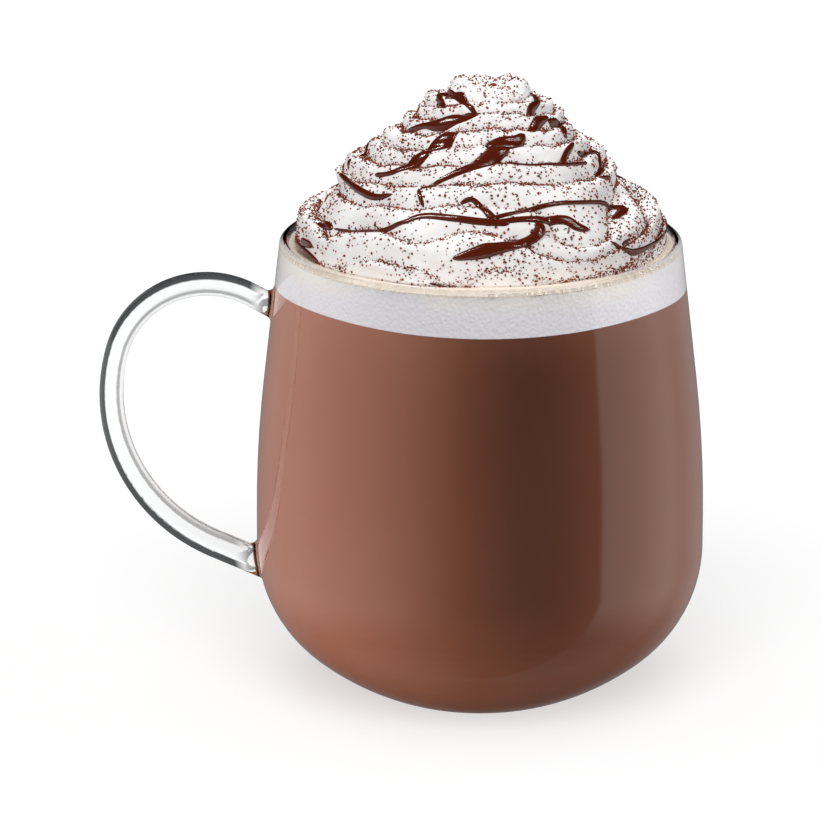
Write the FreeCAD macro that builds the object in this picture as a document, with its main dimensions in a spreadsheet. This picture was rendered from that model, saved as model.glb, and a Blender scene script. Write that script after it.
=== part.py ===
import FreeCAD, Part
import math
import os

import Sketcher

# A whipped-cream latte in a clear barrel mug: the blown glass with its pulled handle, the milky
# coffee, the layer of milk foam on it and the piped heap of whipped cream.
# Millimetres and degrees. The origin is the middle of the foot, +Z is up and the handle
# points to -X.

SIZES = [
    # glass, outside
    ("mug_height", 93.0),
    ("belly_radius", 45.0),
    ("foot_radius", 20.2),
    ("under_radius", 52.5),
    ("corner_radius", 27.7),
    ("corner_angle", 50.0),
    ("band_height", 6.3),
    ("taper_height", 29.0),
    ("taper_angle", 6.6),
    # glass, inside and edges
    ("wall", 2.0),
    ("floor_thickness", 2.8),
    ("rim_fillet", 0.85),
    ("foot_fillet", 2.5),
    ("punt_radius", 13.0),
    ("punt_depth", 0.8),
    # handle: its two ends lie inside the barrel, one below the other, and the cavity cuts them
    ("handle_drop", 18.8),
    ("handle_span", 53.8),
    ("handle_root_depth", 12.0),
    ("handle_rise_angle", 29.5),
    ("handle_exit_angle", 23.5),
    ("handle_stand_off", 29.0),
    ("handle_widest_drop", 32.3),
    ("handle_blend_angle", 16.0),
    ("handle_width", 5.6),
    ("handle_top_thickness", 4.1),
    ("handle_foot_thickness", 5.4),
    ("handle_edge_radius", 1.9),
    ("handle_flare", 1.2),
    # what fills the glass
    ("foam_gap", 1.5),
    ("foam_depth", 8.6),
    # whipped cream
    ("cream_height", 34.4),
    ("cream_side_gap", 1.2),
    ("cream_front_gap", 6.7),
    ("cream_back_gap", 1.7),
    ("crown_width", 14.0),
    ("crown_height", 3.4),
    ("crown_shift", 1.7),
    ("crown_lobes", 6),
    ("crown_lobe_depth", 1.3),
    ("fold_count", 8),
    ("fold_starts", 1),
    ("fold_crowding", 1.6),
    ("fold_depth", 1.9),
    ("fold_droop", 4.5),
    ("unevenness", 0.4),
]

# Heights that follow from the sizes.
RIM = "Sizes.mug_height"
FOAM_TOP = "(Sizes.mug_height - Sizes.foam_gap)"
DRINK_TOP = "(Sizes.mug_height - Sizes.foam_gap - Sizes.foam_depth)"
# The under arc is centred here, and stands the belly's lower edge at this height.
UNDER_X = (
    "(Sizes.belly_radius - Sizes.corner_radius"
    " + (Sizes.corner_radius - Sizes.under_radius) * cos(Sizes.corner_angle * 1 deg))"
)
BAND_LOW = (
    "(sqrt(Sizes.under_radius ^ 2 - (Sizes.foot_radius - %s) ^ 2)"
    " + (Sizes.corner_radius - Sizes.under_radius) * sin(Sizes.corner_angle * 1 deg))" % UNDER_X
)
BAND_HIGH = "(%s + Sizes.band_height)" % BAND_LOW
BELLY_ARC = (
    "((Sizes.mug_height - Sizes.taper_height - %s) / sin(Sizes.taper_angle * 1 deg))" % BAND_HIGH
)
# The glass's inner radius where the foam ends.
FOAM_RADIUS = (
    "(Sizes.belly_radius - %s * (1 - cos(Sizes.taper_angle * 1 deg))"
    " - (Sizes.taper_height - Sizes.foam_gap) * tan(Sizes.taper_angle * 1 deg)"
    " - Sizes.wall / cos(Sizes.taper_angle * 1 deg))" % BELLY_ARC
)
# The handle's path: both ends lie at this X, and its widest point at that one.
ROOT_X = "(Sizes.handle_root_depth - Sizes.belly_radius)"
REACH_X = "(-Sizes.belly_radius - Sizes.handle_stand_off)"
HANDLE_HIGH = "(Sizes.mug_height - Sizes.handle_drop)"
HANDLE_LOW = "(Sizes.mug_height - Sizes.handle_drop - Sizes.handle_span)"
HANDLE_WIDEST = "(Sizes.mug_height - Sizes.handle_widest_drop)"

CAVITY_RISE = 5.0  # how far the cavity's cutter stands above the rim
FOLD_ROWS = 72  # rows of poles up the folds of the cream
CROWN_ROWS = 9  # rows that close its top
COLUMNS = 72  # poles round it
SHOULDER_POWER = 1.5  # how full the heap's sides are under the crown
SKIRT_POWER = 1.2  # and how they spread out to the foot
LIP_POWER = 0.9  # below 1 a fold's lip is fuller than a quarter circle
QUARTER_SAG = 1 - math.sqrt(0.5)  # how far a quarter circle of radius 1 stands off its chord
DEEPEST_FOLD = 0.38  # the deepest a fold may be, as a share of its height
FOLD_FADES = (0.05, 0.04)  # shares of the climb in which folds start at the foot and end
SETTLE_HEIGHT = 6.0  # height over the foam from which the folds droop in full
CROWN_HOLE = 0.6  # radius of the flat that ends the crown
CROWN_ARCH = 0.8  # how much of a half wave the crown rises and dips through
CROWN_POWER = 1.5  # how full the crown is
# Where the piping pushed the folds: height over the foam, angle from the front towards +X,
# reach up, reach round, and how far they were pushed up.
PUSHES = [
    (7.5, 27, 6.5, 16, -6.0),
    (4.5, -5, 3.5, 11, -3.5),
    (9.5, -27, 4.0, 12, -2.5),
    (8.0, 64, 6.0, 26, -4.0),
    (9.5, -64, 5.0, 16, -4.0),
    (7.0, 150, 5.0, 18, -4.0),
    (6.0, -130, 4.0, 15, 3.0),
    (14.0, 180, 5.0, 20, -3.0),
]


def make_sheet(doc):
    sheet = doc.addObject("Spreadsheet::Sheet", "Sizes")
    for row, (name, number) in enumerate(SIZES, start=1):
        sheet.set("A%d" % row, name)
        sheet.set("B%d" % row, str(number))
        sheet.setAlias("B%d" % row, name)
    doc.recompute()


def value(doc, expression):
    found = doc.Sizes.evalExpression(expression)
    return float(getattr(found, "Value", found))


def size(doc, name):
    return value(doc, "Sizes." + name)


# --- sketches ---


def new_sketch(body, name, role):
    plane = next(f for f in body.Origin.OriginFeatures if f.Role == role)
    sketch = body.newObject("Sketcher::SketchObject", name)
    sketch.AttachmentSupport = [(plane, "")]
    sketch.MapMode = "FlatFace"
    return sketch


def constrain(sketch, kind, *where):
    return sketch.addConstraint(Sketcher.Constraint(kind, *where))


def bind(sketch, name, kind, where, expression):
    """Add a dimension that takes its value from the sheet."""
    number = value(sketch.Document, expression)
    if kind == "Angle":
        number = math.radians(number)
    index = constrain(sketch, kind, *where, number)
    sketch.renameConstraint(index, name)
    sketch.setExpression("Constraints." + name, expression)


def point(x, y):
    return FreeCAD.Vector(x, y, 0)


def polar(angle, radius=1.0):
    return point(radius * math.cos(math.radians(angle)), radius * math.sin(math.radians(angle)))


def line(start, end):
    return Part.LineSegment(start, end)


def arc(centre, radius, start, end):
    circle = Part.Circle(centre, FreeCAD.Vector(0, 0, 1), radius)
    return Part.ArcOfCircle(circle, math.radians(start), math.radians(end))


def join(sketch, kind, first, second):
    """Join the end of one edge to the start of the next, Coincident or Tangent."""
    constrain(sketch, kind, first, 2, second, 1)


def turn(body, sketch, kind, name):
    """Revolve a sketch a full turn about its upright axis, as a Revolution or a Groove."""
    feature = body.newObject("PartDesign::" + kind, name)
    feature.Profile = sketch
    feature.ReferenceAxis = (sketch, ["V_Axis"])
    feature.Angle = 360
    return feature


# --- the mug ---


def barrel_profile(body, name, inset, low, high):
    """Half outline of the barrel, closed along its axis: a flat bottom, the under arc, the
    corner arc, an upright band, the belly arc and a straight taper. inset, low and high are
    expressions: how far it lies inside the outer wall, and the heights of its two flats."""
    doc = body.Document
    gap, bottom, top = (value(doc, text) for text in (inset, low, high))
    wide = size(doc, "belly_radius") - gap
    corner = size(doc, "corner_radius") - gap
    under = size(doc, "under_radius") - gap
    belly = value(doc, BELLY_ARC) - gap
    bend = size(doc, "corner_angle")
    lean = size(doc, "taper_angle")
    corner_centre = point(wide - corner, value(doc, BAND_LOW))
    under_centre = corner_centre + polar(-bend, corner - under)
    belly_centre = point(wide - belly, value(doc, BAND_HIGH))
    sole_angle = math.degrees(math.asin((bottom - under_centre.y) / under))
    sole = under_centre + polar(sole_angle, under)
    shoulder = belly_centre + polar(lean, belly)
    rim = point(shoulder.x - (top - shoulder.y) * math.tan(math.radians(lean)), top)
    outline = [
        line(point(0, bottom), sole),
        arc(under_centre, under, sole_angle, -bend),
        arc(corner_centre, corner, -bend, 0),
        line(corner_centre + point(corner, 0), belly_centre + point(belly, 0)),
        arc(belly_centre, belly, 0, lean),
        line(shoulder, rim),
        line(rim, point(0, top)),
        line(point(0, top), point(0, bottom)),
    ]
    sketch = new_sketch(body, name, "XZ_Plane")
    sketch.addGeometry(outline, False)
    flat, under_arc, corner_arc, band, belly_arc, taper, lid, axis = range(len(outline))
    for first, second in ((flat, under_arc), (taper, lid), (lid, axis), (axis, flat)):
        join(sketch, "Coincident", first, second)
    for first, second in (
        (under_arc, corner_arc),
        (corner_arc, band),
        (band, belly_arc),
        (belly_arc, taper),
    ):
        join(sketch, "Tangent", first, second)
    for edge in (flat, lid):
        constrain(sketch, "Horizontal", edge)
    for edge in (band, axis):
        constrain(sketch, "Vertical", edge)
    constrain(sketch, "PointOnObject", axis, 1, -2)
    bind(sketch, "wide", "DistanceX", (-1, 1, band, 1), "Sizes.belly_radius - %s" % inset)
    bind(sketch, "under", "Radius", (under_arc,), "Sizes.under_radius - %s" % inset)
    bind(sketch, "corner", "Radius", (corner_arc,), "Sizes.corner_radius - %s" % inset)
    bind(sketch, "belly", "Radius", (belly_arc,), "%s - %s" % (BELLY_ARC, inset))
    bind(sketch, "bend", "Angle", (corner_arc,), "Sizes.corner_angle * 1 deg")
    bind(sketch, "lean", "Angle", (belly_arc,), "Sizes.taper_angle * 1 deg")
    bind(sketch, "band_low", "DistanceY", (-1, 1, band, 1), BAND_LOW)
    bind(sketch, "band_high", "DistanceY", (-1, 1, band, 2), BAND_HIGH)
    bind(sketch, "top", "DistanceY", (-1, 1, lid, 2), high)
    if bottom:
        bind(sketch, "bottom", "DistanceY", (-1, 1, axis, 2), low)
    else:
        constrain(sketch, "PointOnObject", axis, 2, -1)
    return sketch


def handle_path(body):
    """The handle's centre line: it rises from the wall, turns over a small arc into the long
    side arc, which is upright at its widest point, and runs back in to the wall."""
    doc = body.Document
    high = point(value(doc, ROOT_X), value(doc, HANDLE_HIGH))
    low = point(value(doc, ROOT_X), value(doc, HANDLE_LOW))
    widest = point(value(doc, REACH_X), value(doc, HANDLE_WIDEST))
    first = 90 - size(doc, "handle_rise_angle")
    blend = 180 - size(doc, "handle_blend_angle")
    last = 270 - size(doc, "handle_exit_angle")
    side = (low - widest).dot(polar(last)) / (1 + math.cos(math.radians(last)))
    side_centre = widest + point(side, 0)
    swing = math.cos(math.radians(blend - first))
    over = ((high - side_centre).dot(polar(first)) - side * swing) / (1 - swing)
    over_centre = side_centre + polar(blend, side - over)
    sketch = new_sketch(body, "HandlePath", "XZ_Plane")
    sketch.addGeometry(
        [
            line(high, over_centre + polar(first, over)),
            arc(over_centre, over, first, blend),
            arc(side_centre, side, blend, last),
            line(side_centre + polar(last, side), low),
        ],
        False,
    )
    sketch.addGeometry([line(point(widest.x, low.y), point(widest.x, high.y))], True)
    rise, over_arc, side_arc, exit_run, reach = range(5)
    for edge, following in ((rise, over_arc), (over_arc, side_arc), (side_arc, exit_run)):
        join(sketch, "Tangent", edge, following)
    constrain(sketch, "Vertical", reach)
    constrain(sketch, "Tangent", reach, side_arc)
    for edge, end, expression, name in (
        (rise, 1, HANDLE_HIGH, "high"),
        (exit_run, 2, HANDLE_LOW, "low"),
    ):
        bind(sketch, name + "_x", "DistanceX", (edge, end, -1, 1), "-%s" % ROOT_X)
        bind(sketch, name + "_z", "DistanceY", (-1, 1, edge, end), expression)
        bind(sketch, name + "_reach", "DistanceY", (-1, 1, reach, 3 - end), expression)
    bind(sketch, "reach", "DistanceX", (reach, 1, -1, 1), "-%s" % REACH_X)
    bind(sketch, "widest", "DistanceY", (-1, 1, side_arc, 3), HANDLE_WIDEST)
    bind(sketch, "rise", "Angle", (rise,), "(180 - Sizes.handle_rise_angle) * 1 deg")
    bind(sketch, "exit", "Angle", (exit_run,), "-Sizes.handle_exit_angle * 1 deg")
    sweep = "(90 - Sizes.handle_exit_angle + Sizes.handle_blend_angle) * 1 deg"
    bind(sketch, "sweep", "Angle", (side_arc,), sweep)
    return sketch


def handle_section(body, name, height, tilt, thickness):
    """A rounded rectangle square to the handle's path at one of its ends, as wide along Y as
    the handle. height, tilt and thickness are expressions."""
    doc = body.Document
    sketch = new_sketch(body, name, "YZ_Plane")
    sketch.AttachmentOffset = FreeCAD.Placement(
        FreeCAD.Vector(0, value(doc, height), value(doc, ROOT_X)),
        FreeCAD.Rotation(FreeCAD.Vector(1, 0, 0), value(doc, tilt)),
    )
    sketch.setExpression("AttachmentOffset.Base.y", height)
    sketch.setExpression("AttachmentOffset.Base.z", ROOT_X)
    sketch.setExpression("AttachmentOffset.Rotation.Angle", tilt)
    half = size(doc, "handle_width") / 2
    thick = value(doc, thickness) / 2
    edge = size(doc, "handle_edge_radius")
    outline = []
    for quarter in range(4):
        side = (half, thick) if quarter % 2 else (thick, half)
        ahead = polar(90 * quarter)
        left = polar(90 * quarter + 90)
        start = ahead * (edge - side[1]) - left * side[0]
        end = ahead * (side[1] - edge) - left * side[0]
        outline.append(line(start, end))
        outline.append(arc(end + left * edge, edge, 90 * quarter - 90, 90 * quarter))
    sketch.addGeometry(outline, False)
    for index in range(8):
        join(sketch, "Tangent", index, (index + 1) % 8)
    for index, kind in ((0, "Horizontal"), (2, "Vertical"), (4, "Horizontal"), (6, "Vertical")):
        constrain(sketch, kind, index)
    for index in (3, 5, 7):
        constrain(sketch, "Equal", 1, index)
    constrain(sketch, "Symmetric", 1, 3, 5, 3, -1, 1)
    bind(sketch, "edge", "Radius", (1,), "Sizes.handle_edge_radius")
    bind(sketch, "half_width", "DistanceX", (-1, 1, 2, 1), "Sizes.handle_width / 2")
    bind(sketch, "half_thickness", "DistanceY", (-1, 1, 4, 1), thickness + " / 2")
    return sketch


def root_edges(barrel, joined, half_width):
    """Names of the edges where the handle leaves the outside of the barrel."""
    skin = barrel.Shells[0]
    names = []
    for index, edge in enumerate(joined.Edges, start=1):
        first, last = edge.ParameterRange
        trail = [edge.valueAt(first + share * (last - first)) for share in (0.0, 0.5, 1.0)]
        beside = all(p.x < 0 and abs(p.y) < half_width + 0.01 and p.z > 1 for p in trail)
        if beside and all(skin.distToShape(Part.Vertex(p))[0] < 0.001 for p in trail):
            names.append("Edge%d" % index)
    return names


def level_circles(shape, height, inner, outer):
    """Names of the level circles at a height whose radius lies between two others."""
    return [
        "Edge%d" % index
        for index, edge in enumerate(shape.Edges, start=1)
        if isinstance(edge.Curve, Part.Circle)
        and abs(edge.Curve.Center.z - height) < 0.001
        and inner < edge.Curve.Radius < outer
    ]


def round_off(body, base, names, name, radius):
    fillet = body.newObject("PartDesign::Fillet", name)
    fillet.Base = (base, names)
    fillet.setExpression("Radius", radius)
    body.Document.recompute()
    return fillet


def punt_profile(body):
    """Half outline of the shallow dome pressed up into the foot."""
    doc = body.Document
    wide = size(doc, "punt_radius")
    deep = size(doc, "punt_depth")
    radius = (wide**2 + deep**2) / (2 * deep)
    centre = point(0, deep - radius)
    span = math.degrees(math.asin(wide / radius))
    sketch = new_sketch(body, "PuntProfile", "XZ_Plane")
    sketch.addGeometry(
        [
            arc(centre, radius, 90 - span, 90),
            line(point(0, deep), point(0, 0)),
            line(point(0, 0), point(wide, 0)),
        ],
        False,
    )
    dome, axis, flat = range(3)
    for first, second in ((dome, axis), (axis, flat), (flat, dome)):
        join(sketch, "Coincident", first, second)
    constrain(sketch, "Coincident", axis, 2, -1, 1)
    constrain(sketch, "Vertical", axis)
    constrain(sketch, "Horizontal", flat)
    constrain(sketch, "PointOnObject", dome, 3, -2)
    bind(sketch, "wide", "DistanceX", (-1, 1, flat, 2), "Sizes.punt_radius")
    bind(sketch, "deep", "DistanceY", (-1, 1, axis, 1), "Sizes.punt_depth")
    return sketch


def make_mug(doc):
    body = doc.addObject("PartDesign::Body", "mug")
    outside = barrel_profile(body, "Outside", "0", "0", RIM)
    barrel = turn(body, outside, "Revolution", "Barrel")
    path = handle_path(body)
    top = handle_section(body, "HandleTop", HANDLE_HIGH, "Sizes.handle_rise_angle * 1 deg",
                         "Sizes.handle_top_thickness")
    foot = handle_section(body, "HandleFoot", HANDLE_LOW,
                          "(180 + Sizes.handle_exit_angle) * 1 deg",
                          "Sizes.handle_foot_thickness")
    handle = body.newObject("PartDesign::AdditivePipe", "Handle")
    handle.Profile = top
    handle.Spine = (path, ["Edge%d" % index for index in range(1, 5)])
    handle.Transformation = "Multisection"
    handle.Sections = [foot]
    doc.recompute()
    roots = root_edges(barrel.Shape, handle.Shape, size(doc, "handle_width") / 2)
    round_off(body, handle, roots, "HandleFlare", "Sizes.handle_flare")
    above = "(Sizes.mug_height + %s)" % CAVITY_RISE
    inside = barrel_profile(body, "Inside", "Sizes.wall", "Sizes.floor_thickness", above)
    cavity = turn(body, inside, "Groove", "Cavity")
    doc.recompute()
    wide = size(doc, "belly_radius")
    rim = level_circles(cavity.Shape, value(doc, RIM), 0, wide)
    rounded = round_off(body, cavity, rim, "RoundRim", "Sizes.rim_fillet")
    foot_edge = level_circles(rounded.Shape, 0, 0, wide)
    round_off(body, rounded, foot_edge, "RoundFoot", "Sizes.foot_fillet")
    turn(body, punt_profile(body), "Groove", "Punt")
    doc.recompute()
    return body


# --- what fills it ---


def make_contents(doc):
    """The drink and the foam on it: the form of the cavity, between two levels."""
    form = doc.addObject("PartDesign::Body", "CavityForm")
    turn(form, barrel_profile(form, "Form", "Sizes.wall", "Sizes.floor_thickness", RIM),
         "Revolution", "Cavity")
    doc.recompute()
    for name, low, high in (("drink", "0", DRINK_TOP), ("milk_foam", DRINK_TOP, FOAM_TOP)):
        level = doc.addObject("Part::Cylinder", name + "_level")
        level.setExpression("Radius", "Sizes.belly_radius")
        level.setExpression("Height", "%s - %s" % (high, low))
        level.setExpression("Placement.Base.z", low)
        layer = doc.addObject("Part::Common", name)
        layer.Base = form
        layer.Tool = level
    doc.recompute()


# --- the whipped cream ---


def cream_sizes(doc):
    """The cream's own sizes, and its foot, which lies inside the glass by its gaps."""
    names = [name for name, number in SIZES]
    cream = {name: size(doc, name) for name in names[names.index("cream_height"):]}
    glass = value(doc, FOAM_RADIUS)
    front, back = cream["cream_front_gap"], cream["cream_back_gap"]
    cream["foot_wide"] = glass - cream["cream_side_gap"]
    cream["foot_deep"] = glass - (front + back) / 2
    cream["set_back"] = (front - back) / 2
    return cream


def cream_radius(climb, cream):
    """Half width of the heap, from 0 at its foot to 1 under the crown."""
    crown = cream["crown_width"] / 2
    left = max(1 - max(climb, 0.0) ** SHOULDER_POWER, 0.0)
    return crown + (cream["foot_wide"] - crown) * left**SKIRT_POWER


def fold_lift(height, around, cream):
    """How far a fold stands off its level there: the folds droop at the sides, and were pushed
    up and down by the piping."""
    lift = -cream["fold_droop"] * min(height / SETTLE_HEIGHT, 1.0) * math.sin(around) ** 2
    for middle, angle, reach_up, reach_round, push in PUSHES:
        up = (height - middle) / reach_up
        across = math.remainder(around - math.radians(angle), 2 * math.pi)
        across /= math.radians(reach_round)
        lift += push * math.exp(-(up**2) - across**2)
    return lift


def fold_shift(climb, around, cream):
    """How far a fold moves the surface up and in, as shares of the climb. The rope of cream
    winds up the heap, and each of its folds is a rounded step: a full lip over a crease."""
    tall = cream["cream_height"] - cream["crown_height"]
    height = climb * tall
    level = max(height - fold_lift(height, around, cream), 0.0) / tall
    crowding = cream["fold_crowding"]
    turns = cream["fold_starts"] * around / (2 * math.pi)
    phase = (cream["fold_count"] * level**crowding - turns) % 1.0
    step = tall / (cream["fold_count"] * crowding * max(level, 0.15) ** (crowding - 1))
    depth = min(cream["fold_depth"], DEEPEST_FOLD * step) / (QUARTER_SAG * tall)
    depth *= min(1.0, climb / FOLD_FADES[0], (1 - climb) / FOLD_FADES[1])
    corner = phase * math.pi / 2
    rise = math.sin(corner) ** LIP_POWER - phase
    inward = 1 - math.cos(corner) ** LIP_POWER - phase
    return depth * rise, depth * inward


def heap_point(climb, around, base, cream):
    """A point of the folded side. around is the angle from the front, -Y, towards +X."""
    rise, inward = fold_shift(climb, around, cream)
    tall = cream["cream_height"] - cream["crown_height"]
    radius = cream_radius(climb + inward, cream)
    uneven = math.sin(3 * around + 9 * climb) + math.sin(5 * around - 14 * climb + 2)
    radius -= cream["unevenness"] * (1 + uneven / 2) * 4 * climb * (1 - climb)
    squash = cream["foot_deep"] / cream["foot_wide"]
    oval = squash + (1 - squash) * climb
    return FreeCAD.Vector(
        radius * math.sin(around) + cream["crown_shift"] * climb**2,
        -radius * math.cos(around) * oval + cream["set_back"] * (1 - climb),
        base + tall * max(climb + rise, 0.0),
    )


def crown_point(share, around, base, cream):
    """A point of the crown: a lobed lip that turns in to a dimple."""
    radius = cream["crown_width"] / 2
    lobe = cream["crown_lobe_depth"] / 2 * math.cos(cream["crown_lobes"] * around)
    lobe *= math.sin(math.pi * share)
    reach = CROWN_HOLE + (radius - CROWN_HOLE) * (1 - share**CROWN_POWER) + lobe
    rise = cream["crown_height"] * math.sin(CROWN_ARCH * math.pi * share) + lobe
    tall = cream["cream_height"] - cream["crown_height"]
    return FreeCAD.Vector(
        reach * math.sin(around) + cream["crown_shift"],
        -reach * math.cos(around),
        base + tall + rise,
    )


def make_cream(doc):
    """One closed surface of splines, with a flat under it and a small one in the crown."""
    cream = cream_sizes(doc)
    base = value(doc, FOAM_TOP)
    turns = [2 * math.pi * column / COLUMNS - math.pi for column in range(COLUMNS)]
    rows = [(heap_point, row / FOLD_ROWS) for row in range(FOLD_ROWS + 1)]
    rows += [(crown_point, row / CROWN_ROWS) for row in range(1, CROWN_ROWS + 1)]
    poles = [[form(share, around, base, cream) for form, share in rows] for around in turns]
    side = Part.BSplineSurface()
    inner = len(rows) - 4
    side.buildFromPolesMultsKnots(
        poles,
        [1] * (COLUMNS + 1),
        [4] + [1] * inner + [4],
        list(range(COLUMNS + 1)),
        list(range(inner + 2)),
        True,
        False,
        3,
        3,
    )
    skin = side.toShape()
    rings = [edge for edge in skin.Edges if edge.BoundBox.ZLength < 0.001]
    lids = [Part.Face(Part.Wire([ring])) for ring in rings]
    shell = Part.makeShell([skin] + lids)
    shell.sewShape()
    solid = Part.makeSolid(shell)
    if solid.Volume < 0:
        solid.reverse()
    heap = doc.addObject("Part::Feature", "whipped_cream")
    heap.Shape = solid
    heap.Placement = FreeCAD.Placement()


# --- the whole ---


def main():
    doc = FreeCAD.newDocument("latte")
    make_sheet(doc)
    make_mug(doc)
    make_contents(doc)
    make_cream(doc)
    doc.recompute()
    for thing in doc.Objects:
        if "Invalid" in thing.State or "Error" in thing.State:
            raise RuntimeError("%s failed" % thing.Label)
    os.makedirs("parts", exist_ok=True)
    pieces = [doc.getObject(name) for name in ("mug", "drink", "milk_foam", "whipped_cream")]
    for piece in pieces:
        shape = piece.Shape
        if shape.isNull() or not shape.isValid() or len(shape.Solids) != 1:
            raise RuntimeError("%s is not one sound solid" % piece.Label)
    for piece in pieces:
        piece.Shape.exportStep("parts/%s.step" % piece.Label)
        box = piece.Shape.optimalBoundingBox(False, False)
        print("%-14s %9.0f mm3, %5.2f to %5.2f high" % (
            piece.Label, piece.Shape.Volume, box.ZMin, box.ZMax))


main()
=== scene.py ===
import math

import bmesh
import bpy
import numpy as np
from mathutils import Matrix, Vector
from mathutils.bvhtree import BVHTree


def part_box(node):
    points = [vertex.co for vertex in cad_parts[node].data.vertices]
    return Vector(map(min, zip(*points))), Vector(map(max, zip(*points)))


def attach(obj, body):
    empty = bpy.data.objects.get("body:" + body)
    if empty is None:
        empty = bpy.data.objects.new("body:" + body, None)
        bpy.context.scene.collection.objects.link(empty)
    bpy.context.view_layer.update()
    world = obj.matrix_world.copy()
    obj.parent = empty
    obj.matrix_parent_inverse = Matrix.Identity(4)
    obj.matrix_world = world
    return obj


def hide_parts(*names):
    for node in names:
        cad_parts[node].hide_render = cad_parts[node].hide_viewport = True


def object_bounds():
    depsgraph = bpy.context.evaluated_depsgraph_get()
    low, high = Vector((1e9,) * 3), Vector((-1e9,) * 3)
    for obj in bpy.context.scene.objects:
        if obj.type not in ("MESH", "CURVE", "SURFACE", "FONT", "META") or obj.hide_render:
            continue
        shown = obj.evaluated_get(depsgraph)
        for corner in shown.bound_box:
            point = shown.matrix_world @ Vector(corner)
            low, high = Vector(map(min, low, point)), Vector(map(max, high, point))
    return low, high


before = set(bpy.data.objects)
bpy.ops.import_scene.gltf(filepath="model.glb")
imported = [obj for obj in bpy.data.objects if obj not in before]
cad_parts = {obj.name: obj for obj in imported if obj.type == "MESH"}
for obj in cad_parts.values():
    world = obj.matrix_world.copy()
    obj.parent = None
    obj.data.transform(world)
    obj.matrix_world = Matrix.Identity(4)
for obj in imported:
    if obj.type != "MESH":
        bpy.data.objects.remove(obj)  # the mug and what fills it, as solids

# A latte in a clear barrel mug: milky chocolate-brown coffee, a layer of milk foam, a piped heap
# of whipped cream, poured chocolate sauce and a dusting of cocoa. Metres; +Z is up, the handle
# points to -X and the front is -Y. Angles round the mug go from the front towards +X.

mm = 0.001
cadLow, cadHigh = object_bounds()
mugLow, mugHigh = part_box("mug")
drinkLow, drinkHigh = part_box("drink")
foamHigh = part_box("milk_foam")[1]
creamLow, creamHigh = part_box("whipped_cream")


def srgb(red, green, blue):
    def linear(level):
        share = level / 255
        return share / 12.92 if share <= 0.04045 else ((share + 0.055) / 1.055) ** 2.4

    return (linear(red), linear(green), linear(blue), 1.0)


def newMaterial(name):
    material = bpy.data.materials.new(name)
    material.use_nodes = True
    tree = material.node_tree
    tree.nodes.clear()
    output = tree.nodes.new("ShaderNodeOutputMaterial")
    return material, tree, output.inputs["Surface"]


def addNode(tree, kind, sockets=None, **settings):
    # a socket is given another node's output, or a plain value
    made = tree.nodes.new("ShaderNode" + kind)
    for key, setting in settings.items():
        setattr(made, key, setting)
    for key, given in (sockets or {}).items():
        if isinstance(given, bpy.types.NodeSocket):
            tree.links.new(given, made.inputs[key])
        else:
            made.inputs[key].default_value = given
    return made


def maths(tree, operation, first, second):
    return addNode(tree, "Math", {0: first, 1: second}, operation=operation).outputs[0]


def ramp(tree, level, low, high, outLow=0.0, outHigh=1.0):
    sockets = {"Value": level, "From Min": low, "From Max": high, "To Min": outLow, "To Max": outHigh}
    return addNode(tree, "MapRange", sockets, interpolation_type="SMOOTHSTEP").outputs["Result"]


def blendColours(tree, share, first, second):
    made = tree.nodes.new("ShaderNodeMix")
    made.data_type = "RGBA"
    for index, given in ((0, share), (6, first), (7, second)):
        if isinstance(given, bpy.types.NodeSocket):
            tree.links.new(given, made.inputs[index])
        else:
            made.inputs[index].default_value = given
    return made.outputs[2]


def through(tree, share, stops, levels):
    # a level that runs straight from stop to stop, both from 0 to 1
    made = addNode(tree, "ValToRGB", {0: share})
    marks = made.color_ramp.elements
    for stop in stops[1:-1]:
        marks.new(stop)
    for mark, stop, level in zip(marks, stops, levels):
        mark.position = stop
        mark.color = (level, level, level, 1)
    return made.outputs[0]


def noise(tree, place, scale, detail=2.0, roughness=0.5, distortion=0.0):
    sockets = {
        "Vector": place,
        "Scale": scale,
        "Detail": detail,
        "Roughness": roughness,
        "Distortion": distortion,
    }
    return addNode(tree, "TexNoise", sockets).outputs["Fac"]


def placeInMetres(tree):
    return addNode(tree, "TexCoord").outputs["Object"]


def bump(tree, height, distance, strength=1.0):
    return addNode(tree, "Bump", {"Height": height, "Distance": distance, "Strength": strength})


def newPiece(name, points, faces, material):
    mesh = bpy.data.meshes.new(name)
    mesh.from_pydata(np.asarray(points).tolist(), [], faces)
    mesh.polygons.foreach_set("use_smooth", [True] * len(mesh.polygons))
    mesh.materials.append(material)
    mesh.update()
    piece = bpy.data.objects.new(name, mesh)
    bpy.context.scene.collection.objects.link(piece)
    return piece


def gridFaces(rows, columns, closed=True):
    # a grid of points, row by row; closed joins the last column to the first
    low = np.arange(rows - 1)[:, None] * columns
    here = np.arange(columns if closed else columns - 1)[None, :]
    there = (here + 1) % columns
    quads = np.stack([low + here, low + there, low + columns + there, low + columns + here], -1)
    return quads.reshape(-1, 4).tolist()


def turned(outline, around):
    # turns rows of (radius, height) about the upright axis; either may differ round the turn
    rows = []
    for radius, height in outline:
        level = np.zeros(len(around)) + height
        rows.append(np.stack([radius * np.sin(around), -radius * np.cos(around), level], -1))
    return np.concatenate(rows)


def joined(name, form, formFaces, turns, places, material):
    # many copies of one small form as one mesh: turns is a 3 x 3 for each, places a point
    points = np.einsum("nij,vj->nvi", turns, form) + places[:, None, :]
    faces = np.asarray(formFaces)[None] + (np.arange(len(places)) * len(form))[:, None, None]
    corners = len(formFaces[0])
    return newPiece(name, points.reshape(-1, 3), faces.reshape(-1, corners).tolist(), material)


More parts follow.
